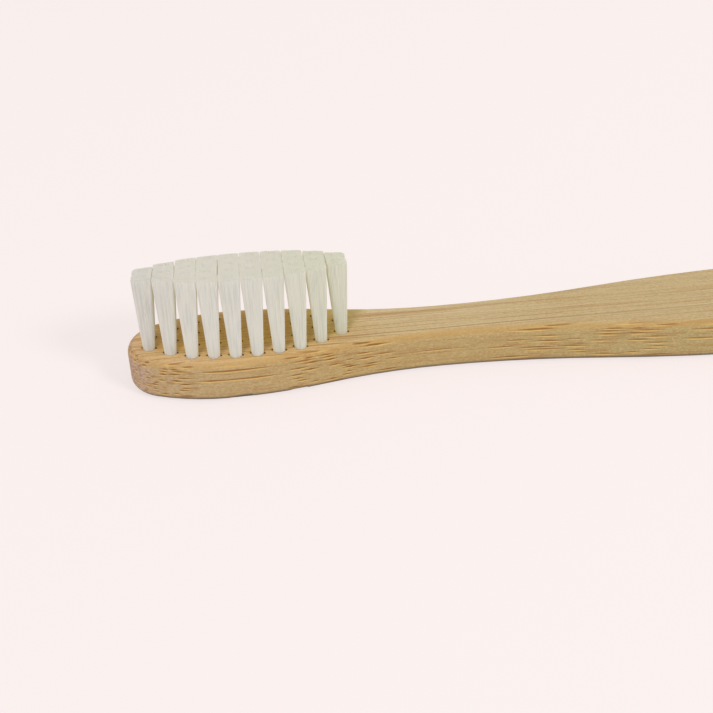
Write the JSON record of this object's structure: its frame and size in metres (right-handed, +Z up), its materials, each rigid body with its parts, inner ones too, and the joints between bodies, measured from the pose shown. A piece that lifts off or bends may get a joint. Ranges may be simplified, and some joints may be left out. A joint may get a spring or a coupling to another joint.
{
  "type": "manual toothbrush",
  "caption": "Flat bamboo toothbrush with a rounded head of upright nylon tufts and a slim neck widening to the grip.",
  "frame": {"origin": "under the middle of the brush, on the flat back that it lies on", "axes": "+X from the head to the end of the grip, +Y across the handle, +Z up through the bristles"},
  "size_m": [0.19, 0.0132, 0.0155],
  "materials": {
    "bamboo": "sanded, thin matt wax, fine lengthwise grain",
    "bristles": "translucent off-white nylon filaments",
    "anchors": "bare nickel-silver strip"
  },
  "bodies": {
    "root": {"handle": "bamboo", "tuft_column_01_row_1": "bristles", "tuft_column_01_row_2": "bristles", "tuft_column_02_row_1": "bristles", "tuft_column_02_row_2": "bristles", "tuft_column_02_row_3": "bristles", "tuft_column_03_row_1": "bristles", "tuft_column_03_row_2": "bristles", "tuft_column_03_row_3": "bristles", "tuft_column_03_row_4": "bristles", "tuft_column_04_row_1": "bristles", "tuft_column_04_row_2": "bristles", "tuft_column_04_row_3": "bristles", "tuft_column_04_row_4": "bristles", "tuft_column_05_row_1": "bristles", "tuft_column_05_row_2": "bristles", "tuft_column_05_row_3": "bristles", "tuft_column_05_row_4": "bristles", "tuft_column_06_row_1": "bristles", "tuft_column_06_row_2": "bristles", "tuft_column_06_row_3": "bristles", "tuft_column_06_row_4": "bristles", "tuft_column_07_row_1": "bristles", "tuft_column_07_row_2": "bristles", "tuft_column_07_row_3": "bristles", "tuft_column_07_row_4": "bristles", "tuft_column_08_row_1": "bristles", "tuft_column_08_row_2": "bristles", "tuft_column_08_row_3": "bristles", "tuft_column_08_row_4": "bristles", "tuft_column_09_row_1": "bristles", "tuft_column_09_row_2": "bristles", "tuft_column_09_row_3": "bristles", "tuft_column_10_row_1": "bristles", "tuft_column_10_row_2": "bristles", "anchors_column_01": "anchors", "anchors_column_02": "anchors", "anchors_column_03": "anchors", "anchors_column_04": "anchors", "anchors_column_05": "anchors", "anchors_column_06": "anchors", "anchors_column_07": "anchors", "anchors_column_08": "anchors", "anchors_column_09": "anchors", "anchors_column_10": "anchors"}
  },
  "joints": []
}
